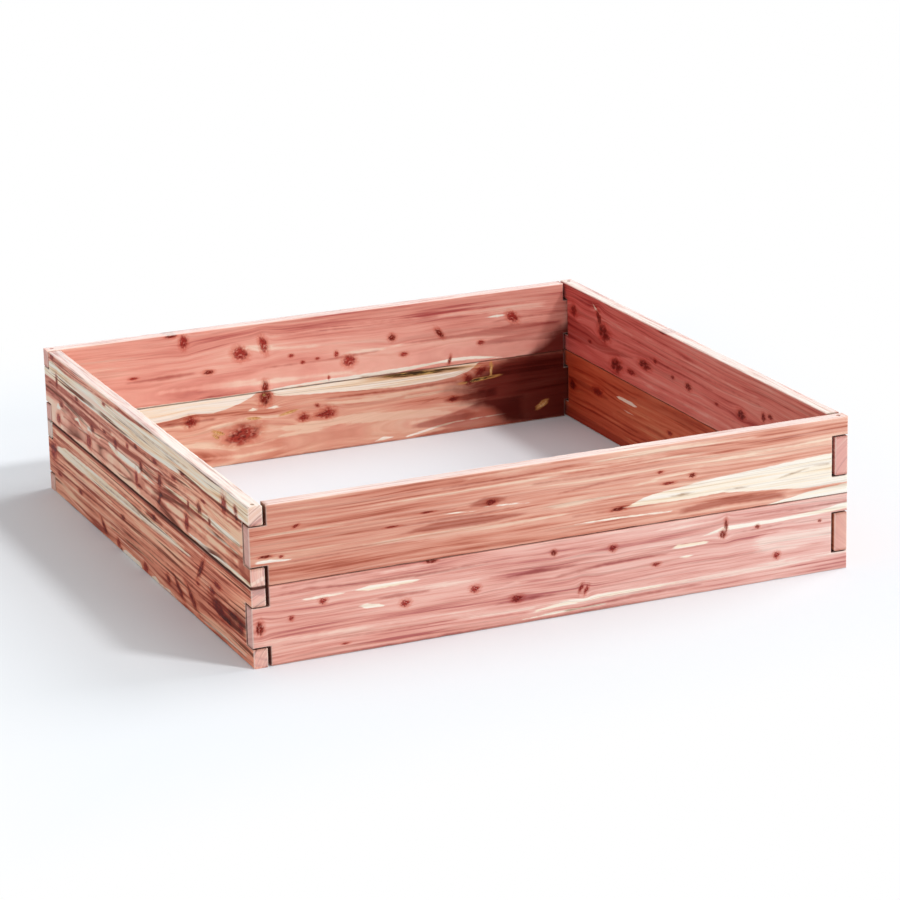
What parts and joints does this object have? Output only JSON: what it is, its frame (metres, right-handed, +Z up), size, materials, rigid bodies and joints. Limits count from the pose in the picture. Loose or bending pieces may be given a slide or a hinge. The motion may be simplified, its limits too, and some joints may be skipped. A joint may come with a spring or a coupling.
{
  "type": "raised garden bed",
  "caption": "Square floorless planting frame of stacked cedar boards whose tongue-and-fork corners interlock and are held by lift-out vertical pins.",
  "frame": {"origin": "centre of the square footprint, on the ground", "axes": "+Z up, +X along the front wall to the right, +Y from the front wall to the back wall"},
  "size_m": [1.2192, 1.2192, 0.3048],
  "materials": {
    "cedar": "planed, unfinished red cedar with pale sapwood bands and knots",
    "pin_steel": "plain galvanised rod"
  },
  "bodies": {
    "front_wall": {"front_lower_board": "cedar", "front_upper_board": "cedar"},
    "right_wall": {"right_lower_board": "cedar", "right_upper_board": "cedar"},
    "back_wall": {"back_lower_board": "cedar", "back_upper_board": "cedar"},
    "left_wall": {"left_lower_board": "cedar", "left_upper_board": "cedar"},
    "front_left_pin": {"front_left_pin": "pin_steel"},
    "front_right_pin": {"front_right_pin": "pin_steel"},
    "back_right_pin": {"back_right_pin": "pin_steel"},
    "back_left_pin": {"back_left_pin": "pin_steel"}
  },
  "joints": [
    {"name": "front_left_hinge", "type": "hinge", "parent": "front_wall", "child": "left_wall", "pos_m": [-0.59531, -0.59531, 0], "axis": [0, 0, 1], "range_deg": [-17, 17]},
    {"name": "front_right_hinge", "type": "hinge", "parent": "front_wall", "child": "right_wall", "pos_m": [0.59531, -0.59531, 0], "axis": [0, 0, 1], "range_deg": [-17, 17]},
    {"name": "back_left_hinge", "type": "hinge", "parent": "left_wall", "child": "back_wall", "pos_m": [-0.59531, 0.59531, 0], "axis": [0, 0, 1], "range_deg": [-17, 17]},
    {"name": "front_left_pin_pull", "type": "slide", "parent": "front_wall", "child": "front_left_pin", "axis": [0, 0, 1], "range_m": [0, 0.31]},
    {"name": "front_right_pin_pull", "type": "slide", "parent": "front_wall", "child": "front_right_pin", "axis": [0, 0, 1], "range_m": [0, 0.31]},
    {"name": "back_right_pin_pull", "type": "slide", "parent": "right_wall", "child": "back_right_pin", "axis": [0, 0, 1], "range_m": [0, 0.31]},
    {"name": "back_left_pin_pull", "type": "slide", "parent": "left_wall", "child": "back_left_pin", "axis": [0, 0, 1], "range_m": [0, 0.31]}
  ],
  "couplings": [
    {"joint": "front_right_hinge", "follows": "front_left_hinge", "ratio": 1},
    {"joint": "back_left_hinge", "follows": "front_left_hinge", "ratio": -1}
  ]
}
